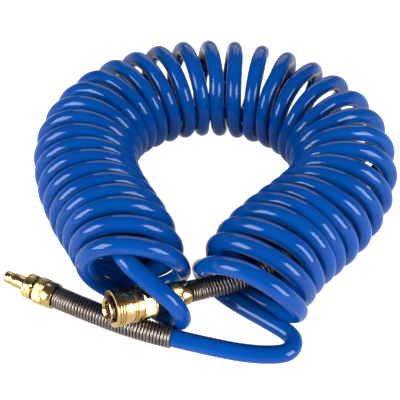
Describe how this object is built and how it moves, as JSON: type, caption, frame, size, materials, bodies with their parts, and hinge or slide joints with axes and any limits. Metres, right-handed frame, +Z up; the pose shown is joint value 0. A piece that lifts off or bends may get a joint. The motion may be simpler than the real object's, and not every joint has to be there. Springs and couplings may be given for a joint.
{
  "type": "coiled air hose",
  "caption": "Spiral air hose laid as a horseshoe, with a quick coupler on one tail, a plug nipple on the other and a kink-protection spring behind each.",
  "frame": {"origin": "on the ground, under the middle of the whole object's box", "axes": "+Z up; the coil is a horseshoe that opens towards -Y, with the plug pointing towards -X"},
  "size_m": [0.2828, 0.2875, 0.079],
  "materials": {
    "hose": "glossy, slightly translucent",
    "kink_spring": "dark oiled steel wire",
    "brass": "polished",
    "spring_steel": "bright wire",
    "seal": "smooth",
    "ball": "polished"
  },
  "bodies": {
    "hose_and_fittings": {"hose_coil": "hose", "hose_plug_tail": "hose", "hose_coupler_tail": "hose", "plug_kink_spring": "kink_spring", "coupler_kink_spring": "kink_spring", "plug_body": "brass", "plug_hose_nut": "brass", "coupler_body": "brass", "sleeve_retaining_ring": "spring_steel", "sleeve_spring": "spring_steel", "plug_seal": "seal", "valve_spring": "spring_steel", "coupler_rear_body": "brass", "coupler_body_seal": "seal", "coupler_hose_nut": "brass"},
    "sleeve": {"locking_sleeve": "brass"},
    "valve": {"valve_poppet": "brass", "valve_seal": "seal"},
    "ball_1": {"locking_ball_1": "ball"},
    "ball_2": {"locking_ball_2": "ball"},
    "ball_3": {"locking_ball_3": "ball"},
    "ball_4": {"locking_ball_4": "ball"},
    "ball_5": {"locking_ball_5": "ball"},
    "ball_6": {"locking_ball_6": "ball"}
  },
  "joints": [
    {"name": "sleeve_slide", "type": "slide", "parent": "hose_and_fittings", "child": "sleeve", "axis": [0.8772, 0.4291, -0.2154], "range_m": [0, 0.0032], "stiffness_N_per_m": 2500, "springref_m": -0.004, "deforming": ["sleeve_spring"]},
    {"name": "valve_slide", "type": "slide", "parent": "hose_and_fittings", "child": "valve", "axis": [0.8772, 0.4291, -0.2154], "range_m": [0, 0.0025], "stiffness_N_per_m": 1200, "springref_m": -0.003, "deforming": ["valve_spring"]},
    {"name": "ball_1_slide", "type": "slide", "parent": "hose_and_fittings", "child": "ball_1", "axis": [0.4394, -0.8983, 0], "range_m": [0, 0.00095]},
    {"name": "ball_2_slide", "type": "slide", "parent": "hose_and_fittings", "child": "ball_2", "axis": [0.0521, -0.5311, -0.8457], "range_m": [0, 0.00095]},
    {"name": "ball_3_slide", "type": "slide", "parent": "hose_and_fittings", "child": "ball_3", "axis": [-0.3873, 0.3672, -0.8457], "range_m": [0, 0.00095]},
    {"name": "ball_4_slide", "type": "slide", "parent": "hose_and_fittings", "child": "ball_4", "axis": [-0.4394, 0.8983, 0], "range_m": [0, 0.00095]},
    {"name": "ball_5_slide", "type": "slide", "parent": "hose_and_fittings", "child": "ball_5", "axis": [-0.0521, 0.5311, 0.8457], "range_m": [0, 0.00095]},
    {"name": "ball_6_slide", "type": "slide", "parent": "hose_and_fittings", "child": "ball_6", "axis": [0.3873, -0.3672, 0.8457], "range_m": [0, 0.00095]}
  ],
  "couplings": [
    {"joint": "ball_1_slide", "follows": "sleeve_slide", "ratio": 0.29688},
    {"joint": "ball_2_slide", "follows": "sleeve_slide", "ratio": 0.29688},
    {"joint": "ball_3_slide", "follows": "sleeve_slide", "ratio": 0.29688},
    {"joint": "ball_4_slide", "follows": "sleeve_slide", "ratio": 0.29688},
    {"joint": "ball_5_slide", "follows": "sleeve_slide", "ratio": 0.29688},
    {"joint": "ball_6_slide", "follows": "sleeve_slide", "ratio": 0.29688}
  ]
}
